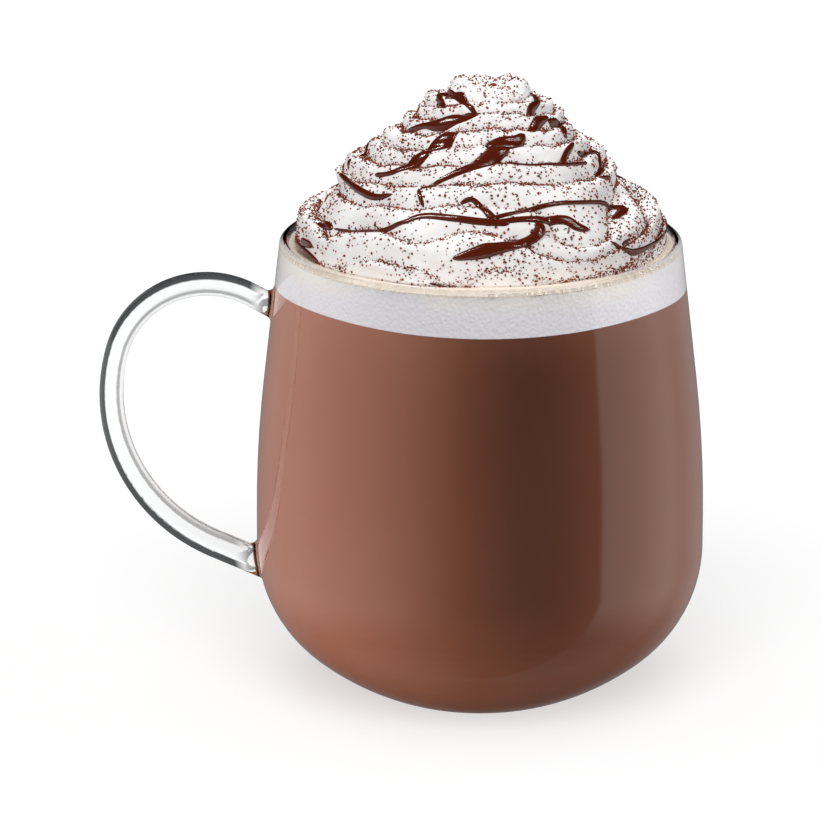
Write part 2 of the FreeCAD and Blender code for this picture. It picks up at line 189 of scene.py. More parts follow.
def smallBall(subdivisions):
    ball = bmesh.new()
    bmesh.ops.create_icosphere(ball, subdivisions=subdivisions, radius=1.0)
    points = np.array([corner.co for corner in ball.verts])
    faces = [[corner.index for corner in face.verts] for face in ball.faces]
    ball.free()
    return points, faces


def crumb():
    # the smallest closed form: eight faces
    points = np.array([(1, 0, 0), (-1, 0, 0), (0, 1, 0), (0, -1, 0), (0, 0, 1), (0, 0, -1)], float)
    ring = [0, 2, 1, 3]
    faces = [[ring[k], ring[(k + 1) % 4], 4] for k in range(4)]
    faces += [[ring[(k + 1) % 4], ring[k], 5] for k in range(4)]
    return points, faces


def randomTurns(random, count):
    # evenly spread turns, from random unit quaternions
    parts = random.normal(size=(4, count))
    w, x, y, z = parts / np.sqrt((parts**2).sum(0))
    return np.stack(
        [
            np.stack([1 - 2 * (y * y + z * z), 2 * (x * y - z * w), 2 * (x * z + y * w)], -1),
            np.stack([2 * (x * y + z * w), 1 - 2 * (x * x + z * z), 2 * (y * z - x * w)], -1),
            np.stack([2 * (x * z - y * w), 2 * (y * z + x * w), 1 - 2 * (x * x + y * y)], -1),
        ],
        1,
    )


def fillingOutline():
    # the radius of what fills the mug at each height, from its two solids
    corners = [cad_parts[name].data.vertices for name in ("drink", "milk_foam")]
    corners = np.array([corner.co for part in corners for corner in part])
    heights = np.round(corners[:, 2], 5)
    radii = np.hypot(corners[:, 0], corners[:, 1])
    levels = np.unique(heights)
    return levels, np.array([radii[heights == level].max() for level in levels])


fillHeights, fillRadii = fillingOutline()


mugGlass = dict(
    ior=1.47,
    wall=srgb(252, 253, 253),
    # the colour of the painted shade on the handle and rim
    edge=srgb(20, 21, 22),
    outer=(0.26, 0.42),  # how far the handle's skin turns outward before the painted shade darkens it
    inner=(0.30, 0.45, 0.62, 0.80),  # and inward: a thin painted dark line
    lean=0.27,  # the painted dark bands show as wide above the loop as below it
    handleSkin=(0.15 * mm, 0.5 * mm),  # so far outside the barrel the handle's painted shade starts
    joint=(1.5 * mm, 5.0 * mm),  # and here the joints' painted shade gives way to the loop's
    lowestJoint=(18 * mm, 20 * mm),  # nothing under this height is handle
    handleOut=48 * mm,  # the point that the handle bends round: out from the axis
    handleUp=12 * mm,  # and up from the middle of the mug's height
    # the painted dark blotches in the joints: their size
    swirlScale=380.0,
    swirl=(0.50, 0.56, 0.0, 0.9),  # where the painted dark blotches in the joints start and are full
    paintedSeamShade=(0.7 * mm, 1.2 * mm, 0.75, 0.0),  # the painted shade in the joint is darkest on the wall
    rimDepth=(1.6 * mm, 0.4 * mm),
    rimAside=(0.80, 0.97),  # how far round to the side the rim's painted shade reaches
    rimBack=4 * mm,  # only its back half gets it
    rippleScale=45.0,
    ripple=0.006 * mm,
    barrelStops=25,  # the shader follows the barrel's outline in runs between these
    straightLevels=9,  # the solids' topmost levels, which lie on the barrel's straight stretch
)
mugMiddle = (mugHigh.z + mugLow.z) / 2
handleMiddle = Vector((-mugGlass["handleOut"], 0, mugMiddle + mugGlass["handleUp"]))


def barrelRadius(tree, height):
    # the barrel's outer radius at a height, in straight runs
    wall = mugHigh.x - fillRadii.max()
    stops = np.linspace(0, 1, mugGlass["barrelStops"])
    heights = mugLow.z + (mugHigh.z - mugLow.z) * stops
    # over the filling the wall goes on as straight as just below it
    low = -mugGlass["straightLevels"]
    slope = (fillRadii[-1] - fillRadii[low]) / (fillHeights[-1] - fillHeights[low])
    over = np.maximum(heights - fillHeights[-1], 0)
    radii = np.interp(heights, fillHeights, fillRadii) + slope * over + wall
    share = maths(tree, "DIVIDE", maths(tree, "SUBTRACT", height, mugLow.z), mugHigh.z - mugLow.z)
    share = through(tree, share, stops, radii / mugHigh.x)
    return maths(tree, "MULTIPLY", share, mugHigh.x)


def rimShade(tree, split, fromAxis):
    # painted shade: the fire-rounded rim is darkened where it turns away at the back's two sides
    start, full = mugGlass["rimDepth"]
    onTop = ramp(tree, split["Z"], mugHigh.z - start, mugHigh.z - full)
    aside = maths(tree, "DIVIDE", maths(tree, "ABSOLUTE", split["X"], 0.0), fromAxis)
    onRim = maths(tree, "MULTIPLY", onTop, ramp(tree, aside, *mugGlass["rimAside"]))
    behind = ramp(tree, split["Y"], -mugGlass["rimBack"], mugGlass["rimBack"])
    return maths(tree, "MULTIPLY", onRim, behind)


def loopShade(tree, place):
    # painted shade: the handle's colour is darkened on the side that faces away from its middle
    away = addNode(tree, "VectorMath", {0: place, 1: handleMiddle}, operation="SUBTRACT")
    flat = addNode(tree, "VectorMath", {0: away.outputs[0], 1: (1, 0, 1)}, operation="MULTIPLY")
    unit = addNode(tree, "VectorMath", {0: flat.outputs[0]}, operation="NORMALIZE")
    normal = addNode(tree, "NewGeometry").outputs["Normal"]
    turn = addNode(tree, "VectorMath", {0: unit.outputs[0], 1: normal}, operation="DOT_PRODUCT")
    height = addNode(tree, "SeparateXYZ", {0: unit.outputs[0]}).outputs["Z"]
    lean = maths(tree, "MULTIPLY", height, mugGlass["lean"])
    outward = maths(tree, "SUBTRACT", turn.outputs["Value"], lean)
    inward = maths(tree, "MULTIPLY", outward, -1.0)
    start, full, fall, end = mugGlass["inner"]
    rising = ramp(tree, inward, start, full)
    falling = ramp(tree, inward, fall, end, 0.8, 0.1)
    inner = maths(tree, "MULTIPLY", rising, falling)
    return maths(tree, "MAXIMUM", ramp(tree, outward, *mugGlass["outer"]), inner)


def handleShade(tree, place, split, outside):
    # painted shade on the handle and its joints
    raised = ramp(tree, split["Z"], *mugGlass["lowestJoint"])
    onHandle = maths(tree, "MULTIPLY", ramp(tree, outside, *mugGlass["handleSkin"]), raised)
    alongHandle = ramp(tree, outside, *mugGlass["joint"])
    sides = maths(tree, "MULTIPLY", loopShade(tree, place), alongHandle)
    # painted shade: dark blotches where the handle joins, for the thick glass that bends the light there
    paintedJointShade = ramp(tree, noise(tree, place, mugGlass["swirlScale"], 1.0, 0.5, 1.0), *mugGlass["swirl"])
    paintedJointShade = maths(tree, "MAXIMUM", paintedJointShade, ramp(tree, outside, *mugGlass["paintedSeamShade"]))
    paintedJointShade = maths(tree, "MULTIPLY", paintedJointShade, maths(tree, "SUBTRACT", 1.0, alongHandle))
    return maths(tree, "MULTIPLY", onHandle, maths(tree, "MAXIMUM", sides, paintedJointShade))


def glassFinish():
    material, tree, surface = newMaterial("clear_glass_finish")
    place = placeInMetres(tree)
    split = addNode(tree, "SeparateXYZ", {0: place}).outputs
    across = maths(tree, "MULTIPLY", split["X"], split["X"])
    deep = maths(tree, "MULTIPLY", split["Y"], split["Y"])
    fromAxis = maths(tree, "SQRT", maths(tree, "ADD", across, deep), 0.0)
    # how far outside the barrel a point is
    outside = maths(tree, "SUBTRACT", fromAxis, barrelRadius(tree, split["Z"]))
    onHandle = handleShade(tree, place, split, outside)
    # painted shade on the handle and rim, as a darker glass colour
    dark = maths(tree, "MAXIMUM", onHandle, rimShade(tree, split, fromAxis))
    # what the barrel mirrors of it stays clear
    path = addNode(tree, "LightPath").outputs
    dark = maths(tree, "MULTIPLY", dark, maths(tree, "SUBTRACT", 1.0, path["Is Glossy Ray"]))
    ripples = noise(tree, place, mugGlass["rippleScale"], 1.0)
    sockets = {
        "Base Color": blendColours(tree, dark, mugGlass["wall"], mugGlass["edge"]),
        "Transmission Weight": 1.0,
        "Roughness": 0.0,
        "IOR": mugGlass["ior"],
        "Normal": bump(tree, ripples, mugGlass["ripple"]).outputs[0],
    }
    glass = addNode(tree, "BsdfPrincipled", sockets)
    clear = addNode(tree, "BsdfTransparent")
    mix = addNode(tree, "MixShader", {0: path["Is Shadow Ray"], 1: glass.outputs[0], 2: clear.outputs[0]})
    tree.links.new(mix.outputs[0], surface)
    return material


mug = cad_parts["mug"]
mug.data.materials.clear()
mug.data.materials.append(glassFinish())
print("mug: glass finish on")


coffee = dict(
    pale=srgb(165, 107, 84),
    deep=srgb(161, 101, 78),
    cloudScale=18.0,
    intoWall=0.15 * mm,
    corner=0.04 * mm,  # how tight the fillings' edges are
    steps=240,
)
foam = dict(
    side=srgb(226, 224, 229),
    top=srgb(226, 213, 198),
    lip=srgb(242, 235, 227),
    cloudScale=40.0,
    speckleScale=1400.0,
    cellScale=1300.0,
    warmDepth=5 * mm,  # its side is warmer this far down from the top
    overDrink=0.5 * mm,  # the foam ends this far over the drink's level in front
    sideRise=1.25 * mm,  # it ends higher towards the sides,
    edgeDrop=1.3 * mm,  # drops again at their very edge
    tilt=-0.25 * mm,  # and is a little lower on one of them
    climb=0.35 * mm,  # how far its top edge climbs the glass
    # how far in from the glass the top falls back, in millimetres, and the share of the climb left
    fall=[(0.1, 0.98), (0.35, 0.85), (0.7, 0.5), (1.2, 0.2), (2.0, 0.05)],
    swells=[(0.10 * mm, 4, 0), (0.08 * mm, 9, 2)],  # its top's waves: height, how many round, start
)
around = np.arange(coffee["steps"]) * 2 * math.pi / coffee["steps"]


def wallRadius(height):
    # just inside the glass at a height
    return np.interp(height, fillHeights, fillRadii) + coffee["intoWall"]


def foamEdge():
    # where the foam ends and the coffee starts, round the glass
    side = np.sin(around) ** 2
    rise = foam["sideRise"] * side - foam["edgeDrop"] * side**4 + foam["tilt"] * np.sin(around)
    return drinkHigh.z + foam["overDrink"] + rise


def coffeeFinish():
    material, tree, surface = newMaterial("milky_coffee_finish")
    place = placeInMetres(tree)
    clouds = noise(tree, place, coffee["cloudScale"], 3.0, 0.55, 0.6)
    shade = ramp(tree, clouds, 0.35, 0.65)
    sockets = {
        "Base Color": blendColours(tree, shade, coffee["deep"], coffee["pale"]),
        "Roughness": 0.5,
        "Specular IOR Level": 0.05,
    }
    shader = addNode(tree, "BsdfPrincipled", sockets)
    tree.links.new(shader.outputs[0], surface)
    return material


def foamFinish():
    material, tree, surface = newMaterial("milk_foam_finish")
    place = placeInMetres(tree)
    height = addNode(tree, "SeparateXYZ", {0: place}).outputs["Z"]
    clouds = noise(tree, place, foam["cloudScale"], 3.0)
    warm = ramp(tree, height, foamHigh.z - foam["warmDepth"], foamHigh.z - 0.2 * mm)
    speckle = ramp(tree, noise(tree, place, foam["speckleScale"], 2.0), 0.42, 0.62, 0.0, 0.35)
    cells = addNode(tree, "TexVoronoi", {"Vector": place, "Scale": foam["cellScale"]})
    pale = blendColours(tree, ramp(tree, clouds, 0.3, 0.7), foam["side"], foam["lip"])
    body = blendColours(tree, warm, foam["side"], pale)
    onTop = ramp(tree, height, foamHigh.z - 0.25 * mm, foamHigh.z + 0.02 * mm)
    crema = blendColours(tree, speckle, foam["top"], foam["lip"])
    colour = blendColours(tree, onTop, body, crema)
    sockets = {
        "Base Color": colour,
        "Roughness": 0.5,
        "Specular IOR Level": 0.25,
        "Normal": bump(tree, cells.outputs["Distance"], 0.12 * mm, 0.5).outputs[0],
    }
    shader = addNode(tree, "BsdfPrincipled", sockets)
    tree.links.new(shader.outputs[0], surface)
    return material


def makeCoffee():
    tight = coffee["corner"]
    top = foamEdge()
    floor = drinkLow.z - coffee["intoWall"]
    sole = wallRadius(drinkLow.z)
    outline = [(0.0, floor), (sole - tight, floor), (sole, floor)]
    under = fillHeights[(fillHeights > drinkLow.z) & (fillHeights < top.min() - tight)]
    outline += [(wallRadius(height), height) for height in under]
    outline += [(wallRadius(top - tight), top - tight), (wallRadius(top), top)]
    outline += [(wallRadius(top) - tight, top), (0.0, top)]
    faces = gridFaces(len(outline), len(around))
    return newPiece("coffee", turned(outline, around), faces, coffeeFinish())


def makeFoam():
    tight = coffee["corner"]
    low = foamEdge() - tight / 2
    rim = foamHigh.z + foam["climb"]
    swells = sum(height * np.sin(many * around + start) for height, many, start in foam["swells"])
    edge = wallRadius(foamHigh.z)
    outline = [(0.0, low), (wallRadius(low) - tight, low), (wallRadius(low), low)]
    for share in (0.01, 0.33, 0.67, 0.99):
        height = low + (rim - low) * share
        outline.append((wallRadius(height), height))
    outline.append((edge, rim))
    for inset, share in foam["fall"]:
        level = foamHigh.z + foam["climb"] * share + swells * (1 - share)
        outline.append((edge - inset * mm, level))
    outline += [(edge / 2, foamHigh.z + swells), (0.0, foamHigh.z)]
    faces = gridFaces(len(outline), len(around))
    return newPiece("foam", turned(outline, around), faces, foamFinish())


coffeePiece = makeCoffee()
foamPiece = makeFoam()
print("coffee and foam: poured")


cream = dict(
    colour=srgb(249, 247, 245),
    hollow=srgb(238, 235, 233),
    # the creases' colour: painted shade, browned for cocoa sunk there
    crease=srgb(186, 166, 158),
    grainScale=900.0,
    cloudScale=90.0,
    rows=25,  # rows of the mesh in each fold
    columns=420,
    crownRows=34,
    heldRows=8,  # the lowest rows keep the foot's true outline
    bulge=1.5,  # the heap's plain side: how late it narrows, and how hollow it is
    hollowness=1.2,
    crownHalf=8.2 * mm,
    crownTop=3.75 * mm,  # how far the solid's crown stands over its folds
    crownHeight=2.7 * mm,
    crownLobe=1.3 * mm,
    crownLobes=6,
    crownTwist=0.5,
    crownTips=0.45 * mm,  # how much higher the crown's two tips are
    crownSwell=0.9 * mm,
    crownShift=1.7 * mm,
    crownHole=0.3 * mm,
    groove=0.30 * mm,  # how deep a crease cuts in, and half its height
    folds=8,
    firstFold=0.35,  # how much of a fold shows under the first crease
    crowding=1.6,
    depth=1.9 * mm,
    deepest=0.38,
    sideDepth=0.8,  # how much deeper the folds are at the mug's sides
    droop=3.0 * mm,
    settle=6 * mm,
    footFade=0.05,  # the share of the height over which the folds run out at the foot
    crownFade=0.04,
    roundness=0.9,  # 1 makes each fold a quarter round
    hang=0.42,  # how far a fold's lip hangs over its crease, as a share of its depth
    hangReach=0.09,
    lip=0.34,  # and how far it stands out
    lipReach=0.14,
    nose=1.3 * mm,  # how far each fold juts out at the mug's two sides
    noseAngle=98,  # degrees, as are the next two
    noseTurn=7,  # how far round the noses stray from that angle
    noseReach=13,
    noseUneven=0.45,
    noseFrom=11 * mm,  # the folds under this height over the foam have none
    uneven=0.4 * mm,
    unevenWaves=[(3, 9, 0), (5, -14, 2)],  # how many round, rate of climb and start
    wander=0.12 * mm,  # how far the creases wander up and down
    wanderWaves=[(11, 300, 0), (17, -500, 1)],
    # the skin's unevenness: its depth and wavelength in millimetres, a seed and how many waves
    reliefs=[(0.10, 9.0, 3, 7), (0.035, 3.2, 4, 7), (0.012, 1.2, 5, 12)],
    crownRelief=(0.06, 1.3, 6, 12),
)
# where the piping pushed the folds: height over the foam, angle, reach up, reach round, push
pushes = [
    (2.5, -8, 4.0, 8, -3.2),
    (5.5, 34, 6.5, 20, -8.0),
    (6.0, 62, 6.0, 16, -3.0),
    (3.0, -60, 4.0, 9, -3.0),
    (5.0, -35, 3.0, 9, 1.3),
    (8.0, -25, 3.0, 9, -2.5),
    (7.0, 150, 5.0, 18, -4.0),
    (6.0, -130, 4.0, 15, 3.0),
    (14.0, 180, 5.0, 20, -3.0),
]
# where the heap draws in: angle, height over the foam, reach round, reach up, depth
waists = [
    (-97, 9, 38, 3.5, 5.0),
    (97, 10.5, 38, 3.0, 4.0),
    (-95, 21, 45, 7, 1.5),
    (95, 19, 45, 9, 2.5),
]
creamBase = creamLow.z
creamTall = creamHigh.z - creamBase - cream["crownTop"]
footWide = (creamHigh.x - creamLow.x) / 2
footDeep = (creamHigh.y - creamLow.y) / 2
setBack = (creamHigh.y + creamLow.y) / 2


def heapRadius(climb):
    left = np.clip(1 - np.clip(climb, 0, 1) ** cream["bulge"], 0, 1)
    return cream["crownHalf"] + (footWide - cream["crownHalf"]) * left ** cream["hollowness"]


def onHeap(radius, around, climb, height):
    # the heap's foot is not quite as deep as wide, and its top leans to one side
    squash = footDeep / footWide
    oval = squash + (1 - squash) * climb
    return np.stack(
        [
            radius * np.sin(around) + cream["crownShift"] * climb**2,
            -radius * np.cos(around) * oval + setBack * (1 - climb),
            creamBase + height,
        ],
        -1,
    )


def bell(around, angle, reach):
    # 1 at the angle, and falling off to both sides of it; angle and reach in degrees
    across = np.remainder(around - np.radians(angle) + math.pi, 2 * math.pi) - math.pi
    return np.exp(-((across / math.radians(reach)) ** 2))


def waves(around, level, kinds):
    return sum(np.sin(many * around + rate * level + start) for many, rate, start in kinds)


def foldPhase(climb, around):
    # 0 at a crease, 1 at the next one up; and the fold's own height there
    height = climb * creamTall
    settled = np.minimum(height / cream["settle"], 1)
    lift = -cream["droop"] * settled * np.sin(around) ** 2
    for middle, angle, reachUp, reachRound, push in pushes:
        up = (height - middle * mm) / (reachUp * mm)
        lift = lift + push * mm * np.exp(-(up**2)) * bell(around, angle, reachRound)
    lift = lift + cream["wander"] * waves(around, height, cream["wanderWaves"]) * settled
    level = np.maximum(height - lift, 0) / creamTall
    phase = cream["folds"] * level ** cream["crowding"] - around / (2 * math.pi) - cream["firstFold"]
    slope = cream["folds"] * cream["crowding"] * np.maximum(level, 0.15) ** (cream["crowding"] - 1)
    return phase, creamTall / slope


def lumps(points, wave, seed, count=7):
    # a smooth uneven field, from waves in chance directions
    random = np.random.default_rng(seed)
    total = np.zeros(points.shape[:-1])
    for _ in range(count):
        way = random.normal(size=3)
        way *= 2 * math.pi / wave / np.linalg.norm(way) * random.uniform(0.7, 1.4)
        total += np.sin(points @ way + random.uniform(0, 2 * math.pi))
    return total / math.sqrt(count)


def noses(turns, phase, around):
    # each fold juts out at the sides, some folds more than others and a little further round
    index = np.floor(turns)
    total = 0
    for side in (-1, 1):
        angle = side * (cream["noseAngle"] + cream["noseTurn"] * np.sin(2.4 * index + side))
        size = 1 + cream["noseUneven"] * np.sin(1.9 * index + 2 * side)
        total = total + size * bell(around, angle, cream["noseReach"])
    return cream["nose"] * total * np.sin(math.pi * phase**0.8) ** 0.7


def drawnIn(climb, around):
    total = 0
    for angle, middle, reachRound, reachUp, depth in waists:
        up = (climb * creamTall / mm - middle) / reachUp
        total = total + depth * mm * bell(around, angle, reachRound) * np.exp(-(up**2))
    return total


def foldedSide(climb, around):
    turns, step = foldPhase(climb, around)
    phase = turns % 1.0
    depth = np.minimum(cream["depth"], cream["deepest"] * step)
    depth = depth * (1 + cream["sideDepth"] * np.sin(around) ** 4)
    depth = depth / ((1 - math.sqrt(0.5)) * creamTall)
    fade = np.clip(np.minimum(climb / cream["footFade"], (1 - climb) / cream["crownFade"]), 0, 1)
    # each fold is about a quarter round, whose lip hangs over the crease below it
    corner = phase * math.pi / 2
    hang = cream["hang"] * np.exp(-phase / cream["hangReach"])
    lip = cream["lip"] * np.exp(-phase / cream["lipReach"])
    rise = fade * depth * (np.sin(corner) ** cream["roundness"] - phase - hang)
    inward = fade * depth * (1 - np.cos(corner) ** cream["roundness"] - phase - lip)
    nearest = np.minimum(phase, 1 - phase) * step
    groove = fade * cream["groove"] * np.exp(-((nearest / cream["groove"]) ** 2))
    radius = heapRadius(climb + inward) - groove - drawnIn(climb, around)
    upper = np.clip((climb * creamTall - cream["noseFrom"]) / (2 * mm), 0, 1)
    radius = radius + fade * upper * noses(turns, phase, around)
    uneven = waves(around, climb, cream["unevenWaves"])
    radius = radius - cream["uneven"] * (1 + uneven / 2) * 4 * climb * (1 - climb)
    return onHeap(radius, around, climb, creamTall * np.maximum(climb + rise, 0))


def crownSide(share, around):
    # lobes with sharp grooves between them, and two tips with a notch in front and behind
    swell = np.sin(math.pi * share)
    turn = around + cream["crownTwist"] * share
    lobe = (np.abs(np.sin(cream["crownLobes"] / 2 * turn)) - 0.6) * cream["crownLobe"] * swell
    tips = -np.cos(2 * around) * cream["crownTips"] * swell
    hole = cream["crownHole"]
    reach = hole + (cream["crownHalf"] - hole) * (1 - share**1.2) + lobe
    reach = reach + cream["crownSwell"] * swell
    rise = cream["crownHeight"] * np.sin(0.8 * math.pi * share) + lobe / 2 + tips
    return np.stack(
        [
            reach * np.sin(around) + cream["crownShift"],
            -reach * np.cos(around),
            creamBase + creamTall + rise,
        ],
        -1,
    )


def creamFinish():
    material, tree, surface = newMaterial("whipped_cream_finish")
    place = placeInMetres(tree)
    grain = noise(tree, place, cream["grainScale"], 3.0, 0.6)
    clouds = ramp(tree, noise(tree, place, cream["cloudScale"], 3.0), 0.35, 0.7)
    body = blendColours(tree, clouds, cream["colour"], cream["hollow"])
    # painted shade: the creases are greyed by how shut in they are, and browned for cocoa that has sunk
    # into them
    openness = addNode(tree, "AmbientOcclusion", {"Distance": 2.2 * mm}, samples=6, only_local=True)
    shut = ramp(tree, openness.outputs["AO"], 0.25, 0.75, 1.0, 0.0)
    sockets = {
        "Base Color": blendColours(tree, shut, body, cream["crease"]),
        "Roughness": 0.45,
        "Specular IOR Level": 0.3,
        "Subsurface Weight": 0.12,
        "Subsurface Radius": (1.0, 0.85, 0.7),
        "Subsurface Scale": 0.6 * mm,
        "Normal": bump(tree, grain, 0.12 * mm, 0.6).outputs[0],
    }
    shader = addNode(tree, "BsdfPrincipled", sockets)
    tree.links.new(shader.outputs[0], surface)
    return material


def skinRelief(grid, kind):
    depth, wave, seed, count = kind
    return depth * mm * lumps(grid, wave * mm, seed, count)


def makeCream():
    rows = cream["rows"] * cream["folds"]
    columns = cream["columns"]
    around = np.arange(columns)[None, :] * 2 * math.pi / columns - math.pi
    # the rows lie closer together where the folds do, near the top
    sideShares = (np.arange(rows + 1)[:, None] / rows) ** 0.85
    crownShares = np.arange(1, cream["crownRows"] + 1)[:, None] / cream["crownRows"]
    side = foldedSide(sideShares, around + 0 * sideShares)
    crown = crownSide(crownShares, around + 0 * crownShares)
    grid = np.concatenate([side, crown])
    sideways = np.roll(grid, -1, 1) - np.roll(grid, 1, 1)
    outward = np.cross(sideways, np.gradient(grid, axis=0), axis=-1)
    outward /= np.linalg.norm(outward, axis=-1, keepdims=True) + 1e-12
    relief = sum(skinRelief(grid, kind) for kind in cream["reliefs"])
    onCrown = slice(-cream["crownRows"], None)
    relief[onCrown] += skinRelief(grid[onCrown], cream["crownRelief"])
    hold = np.clip(np.arange(len(grid)) / cream["heldRows"], 0, 1)[:, None]
    grid = grid + outward * (relief * hold)[..., None]
    points = grid.reshape(-1, 3)
    faces = gridFaces(len(grid), columns)
    faces.append(list(range(columns))[::-1])
    faces.append(list(range(len(points) - columns, len(points))))
    return newPiece("cream", points, faces, creamFinish()), grid


creamPiece, creamGrid = makeCream()
creamTree = BVHTree.FromObject(creamPiece, bpy.context.evaluated_depsgraph_get())
print("cream: %d faces piped" % len(creamPiece.data.polygons))


cocoa = dict(
    dark=srgb(100, 32, 14),
    light=srgb(152, 68, 38),
    count=12000,
    inCreases=12500,
    small=0.12 * mm,
    large=0.38 * mm,
    creaseSize=0.75,  # the crumbs in the creases are this much smaller
    sunk=0.2,  # a crumb's middle is this share of its size over the cream
    shadeScale=700.0,
    sizes=(1.6, 2.6),  # the spread of sizes from small to large
    shapes=(0.65, 1.25),  # how much longer or shorter a crumb is one way than another
    # how the loose dust comes and goes: evenness, unevenness, wavelength, seed, least
    patches=(0.9, 0.45, 14 * mm, 21, 0.4),
    facingUp=0.55,  # the share of the dust that needs cream that faces up
    skirt=0.6,  # how much more dust the foot has
    skirtHeight=6 * mm,
    seenFrom=math.radians(17),  # the lines lie where they show from this far above level
    leastAhead=0.35,
    lineBelow=0.24 * mm,
    lineAbove=0.16 * mm,
    shareAbove=0.7,
    scatter=0.05,
    scatterReach=1.4 * mm,
    breaks=(1.0, 0.8, 11 * mm, 22, 0.08),  # how the lines come and go, given as for the patches
    rayStart=0.04 * mm,
    rayReach=20 * mm,
    seed=11,
)


def cocoaFinish():
    material, tree, surface = newMaterial("cocoa_finish")
    place = placeInMetres(tree)
    shade = ramp(tree, noise(tree, place, cocoa["shadeScale"], 2.0), 0.35, 0.65)
    sockets = {
        "Base Color": blendColours(tree, shade, cocoa["dark"], cocoa["light"]),
        "Roughness": 0.85,
        "Specular IOR Level": 0.2,
    }
    shader = addNode(tree, "BsdfPrincipled", sockets)
    tree.links.new(shader.outputs[0], surface)
    return material


def creaseGaps(middle, normal):
    # how far each place shows below, and above, the nearest spot where one fold hides another
    outward = middle - np.array([cream["crownShift"] / 2, 0, 0])
    outward[..., 2] = 0
    reach = np.linalg.norm(outward, axis=-1)
    # at the heap's side the lines count as if seen from higher up
    ahead = np.maximum(np.abs(outward[..., 1]) / reach, cocoa["leastAhead"])
    lift = (np.arctan(math.tan(cocoa["seenFrom"]) / ahead).mean(0) + 0 * reach)[..., None]
    way = outward / reach[..., None] * np.cos(lift) + np.array([0, 0, 1]) * np.sin(lift)
    level = middle[..., 2] * np.cos(lift[..., 0]) - reach * np.sin(lift[..., 0])
    starts = (middle + normal * cocoa["rayStart"]).reshape(-1, 3).tolist()
    rays = zip(starts, way.reshape(-1, 3).tolist())
    hits = [creamTree.ray_cast(*ray, cocoa["rayReach"])[0] for ray in rays]
    hidden = np.array([hit is not None for hit in hits]).reshape(level.shape)
    last = len(level) - 1
    rows = np.arange(last + 1)[:, None] + np.zeros(level.shape, int)
    nextUp = np.minimum.accumulate(np.where(hidden, rows, last)[::-1])[::-1]
    lastDown = np.maximum.accumulate(np.where(hidden, rows, 0))
    lipLevel = np.take_along_axis(level, np.maximum(nextUp - 1, 0), 0)
    footLevel = np.take_along_axis(level, np.minimum(lastDown + 1, last), 0)
    far = 1.0
    below = np.where(hidden | (nextUp == last), far, np.abs(lipLevel - level))
    above = np.where(hidden | (lastDown == 0), far, np.abs(level - footLevel))
    return below, above


def patchy(points, kind):
    even, uneven, wave, seed, least = kind
    return np.clip(even + uneven * lumps(points, wave, seed), least, 2.0)


def makeCocoa():
    random = np.random.default_rng(cocoa["seed"])
    corners = [creamGrid[:-1], np.roll(creamGrid, -1, 1)[:-1], creamGrid[1:]]
    sideWay, upWay = corners[1] - corners[0], corners[2] - corners[0]
    face = np.cross(sideWay, upWay, axis=-1)
    area = np.linalg.norm(face, axis=-1)
    normal = face / (area[..., None] + 1e-15)
    middle = corners[0] + (sideWay + upWay) / 2
    # loose dust all over, more of it where the cream faces up, and dust that fell into the creases
    fall = np.clip(normal[..., 2], 0, 1) * cocoa["facingUp"] + 1 - cocoa["facingUp"]
    low = (middle[..., 2] - creamBase) / cocoa["skirtHeight"]
    fall = fall * (1 + cocoa["skirt"] * np.exp(-(low**2)))
    even = (area * patchy(middle, cocoa["patches"]) * fall).ravel()
    below, above = creaseGaps(middle, normal)
    lines = np.exp(-((below / cocoa["lineBelow"]) ** 2))
    lines += cocoa["shareAbove"] * np.exp(-((above / cocoa["lineAbove"]) ** 2))
    lines += cocoa["scatter"] * np.exp(-below / cocoa["scatterReach"])
    lined = (area * lines * patchy(middle, cocoa["breaks"])).ravel()
    places, ways = [], []
    for weights, count in ((even, cocoa["count"]), (lined, cocoa["inCreases"])):
        chosen = random.choice(len(weights), count, p=weights / weights.sum())
        across, up = random.uniform(size=(2, count, 1))
        start = corners[0].reshape(-1, 3)[chosen]
        spot = start + across * sideWay.reshape(-1, 3)[chosen] + up * upWay.reshape(-1, 3)[chosen]
        places.append(spot)
        ways.append(normal.reshape(-1, 3)[chosen])
    places, ways = np.concatenate(places), np.concatenate(ways)
    count = len(places)
    size = cocoa["small"] + (cocoa["large"] - cocoa["small"]) * random.beta(*cocoa["sizes"], count)
    size[cocoa["count"]:] *= cocoa["creaseSize"]
    shape = random.uniform(*cocoa["shapes"], size=(count, 3)) * size[:, None]
    turns = randomTurns(random, count) * shape[:, None, :]
    form, faces = crumb()
    places = places + ways * (size * cocoa["sunk"])[:, None]
    return joined("cocoa", form, faces, turns, places, cocoaFinish())


cocoaPiece = makeCocoa()
print("cocoa: dusted")


sauce = dict(
    colour=srgb(84, 27, 11),
    thin=srgb(128, 70, 42),
    thickness=0.72 * mm,
    fullWidth=2.4,  # a stroke this wide, in millimetres, has that thickness
    thinnest=0.6,  # how much less a narrow one has, and how much more a wide one
    thickest=1.25,
    roundness=2.6,
    swirlScale=120.0,
    step=0.35 * mm,
    fine=24,  # points worked out between two stops, before they are evened out
    across=9,
    centreDrop=12 * mm,  # the strokes face away from a point this far under the heap's foot
    endRows=4.0,  # how many rows a stroke's rounded end takes
    hover=6 * mm,  # the rays that find the cream start this far out from the plain heap
    rayReach=14 * mm,
    edgeSunk=0.12 * mm,
    soleSunk=0.25 * mm,
)
